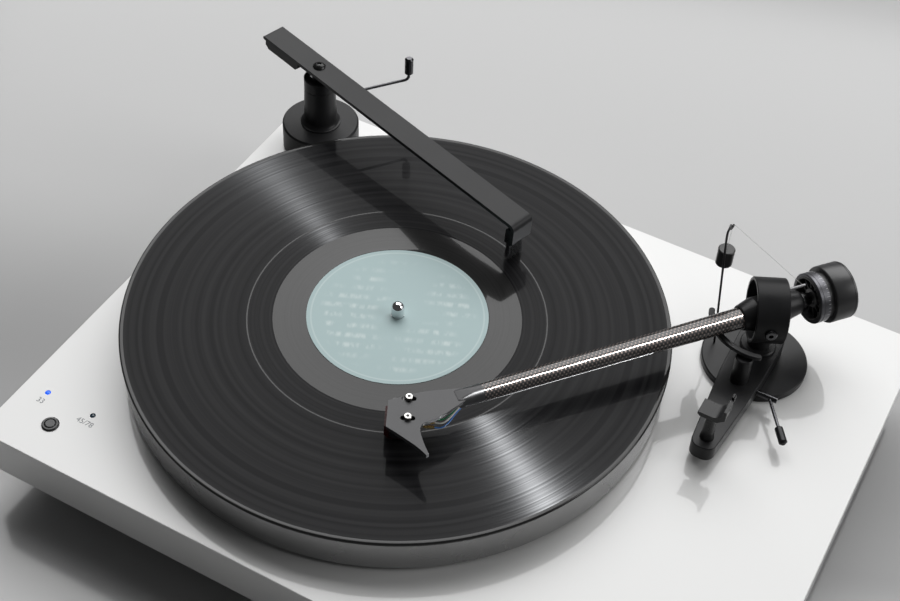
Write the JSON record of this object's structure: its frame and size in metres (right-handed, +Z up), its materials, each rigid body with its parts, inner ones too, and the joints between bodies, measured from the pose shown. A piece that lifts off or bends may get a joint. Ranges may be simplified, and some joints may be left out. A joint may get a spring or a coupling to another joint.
{
  "type": "turntable record player",
  "caption": "Belt-drive record player: glossy white plinth on feet, black platter with a record, gimbal tonearm with counterweight and lift, and a swinging record brush.",
  "frame": {"origin": "centre of the overall outline in plan, on the surface the feet stand on", "axes": "+X to the right seen from the front, +Y to the back, +Z up"},
  "size_m": [0.4277, 0.32, 0.1417],
  "materials": {
    "white_lacquer": "high-gloss white lacquer on fibreboard",
    "black_board": "matt black hardboard",
    "black_steel": "black painted steel",
    "black_plastic": "satin black plastic",
    "foot_rubber": "matt black rubber",
    "circuit": "green laminate",
    "lit_light": "clear blue-white light, lit",
    "dark_light": "clear light, not lit",
    "bright_steel": "polished",
    "satin_steel": "turned and brushed",
    "black_aluminium": "satin black anodised aluminium",
    "grey_aluminium": "satin grey aluminium",
    "bare_aluminium": "satin",
    "bearing_bronze": "turned",
    "sub_platter_plastic": "moulded, satin",
    "vinyl": "pressed vinyl with fine grooves",
    "label_paper": "matt printed paper",
    "belt_rubber": "ground flat belt",
    "gold": "gold plated",
    "carbon": "lacquered twill carbon fibre",
    "stylus_red": "dark red moulded plastic",
    "lead_red": "soft insulated wire",
    "lead_white": "soft insulated wire",
    "lead_green": "soft insulated wire",
    "lead_blue": "soft insulated wire",
    "thread": "fine nylon thread",
    "bristle": "fine soft fibres"
  },
  "bodies": {
    "deck": {"plinth_board": "white_lacquer", "base_cover": "black_board", "cover_screws": "black_steel", "foot_bodies": "black_plastic", "foot_pads": "foot_rubber", "circuit_board": "circuit", "speed_light_33": "lit_light", "speed_light_45": "dark_light", "button_bezel": "black_aluminium", "bearing_housing": "bearing_bronze", "motor_body": "black_steel", "drive_belt": "belt_rubber", "connector_box": "black_plastic", "phono_sockets": "gold", "ground_terminal": "gold", "power_socket": "black_plastic", "arm_base": "black_aluminium", "armrest_bar": "black_aluminium", "lift_cylinder": "black_aluminium", "armrest_cradle": "black_plastic", "antiskate_wire": "bright_steel", "antiskate_thread": "thread", "broom_base": "black_steel", "broom_post": "black_aluminium"},
    "turntable": {"spindle": "bright_steel", "sub_platter": "sub_platter_plastic", "platter": "black_aluminium", "record": "vinyl", "record_label": "label_paper"},
    "pulley": {"motor_pulley": "bare_aluminium"},
    "button": {"speed_button": "black_plastic"},
    "lift": {"lift_platform": "black_aluminium"},
    "lever": {"cue_lever": "bright_steel", "cue_knob": "black_plastic"},
    "clip": {"armrest_clip": "black_plastic"},
    "arm_yoke": {"bearing_ring": "black_aluminium", "gimbal_screws": "satin_steel"},
    "arm_wand": {"bearing_barrel": "black_aluminium", "rear_stub": "bright_steel", "antiskate_stub": "bright_steel", "arm_tube": "carbon", "headshell_screws": "bright_steel", "cartridge_body": "black_plastic", "stylus_unit": "stylus_red", "cartridge_pins": "gold", "lead_red": "lead_red", "lead_white": "lead_white", "lead_green": "lead_green", "lead_blue": "lead_blue"},
    "arm_counterweight": {"counterweight": "black_aluminium"},
    "weight_dial": {"counterweight_dial": "grey_aluminium"},
    "bob": {"antiskate_weight": "satin_steel"},
    "broom_head": {"broom_cap": "black_aluminium", "broom_pin": "bright_steel"},
    "broom_arm": {"broom_bar": "black_aluminium", "bar_screw": "black_steel", "broom_weight": "black_steel", "finger_lift": "black_aluminium", "brush_holder": "black_plastic", "brush_bristles": "bristle"}
  },
  "joints": [
    {"name": "platter_spin", "type": "hinge", "parent": "deck", "child": "turntable", "pos_m": [-0.04264, 0.0053, 0.0543], "axis": [0, 0, 1], "continuous": true},
    {"name": "pulley_spin", "type": "hinge", "parent": "deck", "child": "pulley", "pos_m": [-0.11005, 0.06187, 0.0543], "axis": [0, 0, 1], "continuous": true},
    {"name": "arm_swing", "type": "hinge", "parent": "deck", "child": "arm_yoke", "pos_m": [0.13541, 0.09641, 0.0543], "axis": [0, 0, 1], "range_deg": [-8.5, 39.4]},
    {"name": "arm_pitch", "type": "hinge", "parent": "arm_yoke", "child": "arm_wand", "pos_m": [0.13541, 0.09641, 0.0963], "axis": [-0.4493, 0.8934, 0], "range_deg": [0, 2.6]},
    {"name": "cue_lever", "type": "hinge", "parent": "deck", "child": "lever", "pos_m": [0.15391, 0.06751, 0.0638], "axis": [-1, 0, 0], "range_deg": [0, 60.5]},
    {"name": "lift_slide", "type": "slide", "parent": "deck", "child": "lift", "axis": [0, 0, 1], "range_m": [0, 0.00121]},
    {"name": "armrest_clip", "type": "hinge", "parent": "deck", "child": "clip", "pos_m": [0.13541, 0.0283, 0.0963], "axis": [0, 1, 0], "range_deg": [-75, 0]},
    {"name": "antiskate_slide", "type": "slide", "parent": "deck", "child": "bob", "axis": [0, 0, 1], "range_m": [-0.0096, 0.0022], "deforming": ["antiskate_thread"]},
    {"name": "counterweight_slide", "type": "slide", "parent": "arm_wand", "child": "arm_counterweight", "axis": [0.6347, 0.7727, 0], "range_m": [-0.003, 0.004]},
    {"name": "dial_turn", "type": "hinge", "parent": "arm_counterweight", "child": "weight_dial", "pos_m": [0.13541, 0.09641, 0.0963], "axis": [0.6347, 0.7727, 0], "continuous": true},
    {"name": "speed_button", "type": "slide", "parent": "deck", "child": "button", "axis": [0, 0, -1], "range_m": [0, 0.0008], "stiffness_N_per_m": 600, "springref_m": -0.0005},
    {"name": "broom_swing", "type": "hinge", "parent": "deck", "child": "broom_head", "pos_m": [-0.16954, 0.1283, 0.0543], "axis": [0, 0, 1], "range_deg": [-7.7, 27]},
    {"name": "broom_pitch", "type": "hinge", "parent": "broom_head", "child": "broom_arm", "pos_m": [-0.16954, 0.1283, 0.1101], "axis": [-0.2924, -0.9563, 0], "range_deg": [0, 12]}
  ],
  "couplings": [
    {"joint": "pulley_spin", "follows": "platter_spin", "ratio": 12},
    {"joint": "cue_lever", "follows": "arm_pitch", "ratio": 23.077},
    {"joint": "lift_slide", "follows": "arm_pitch", "m_per_rad": 0.026444},
    {"joint": "antiskate_slide", "follows": "arm_swing", "m_per_rad": -0.0138}
  ]
}
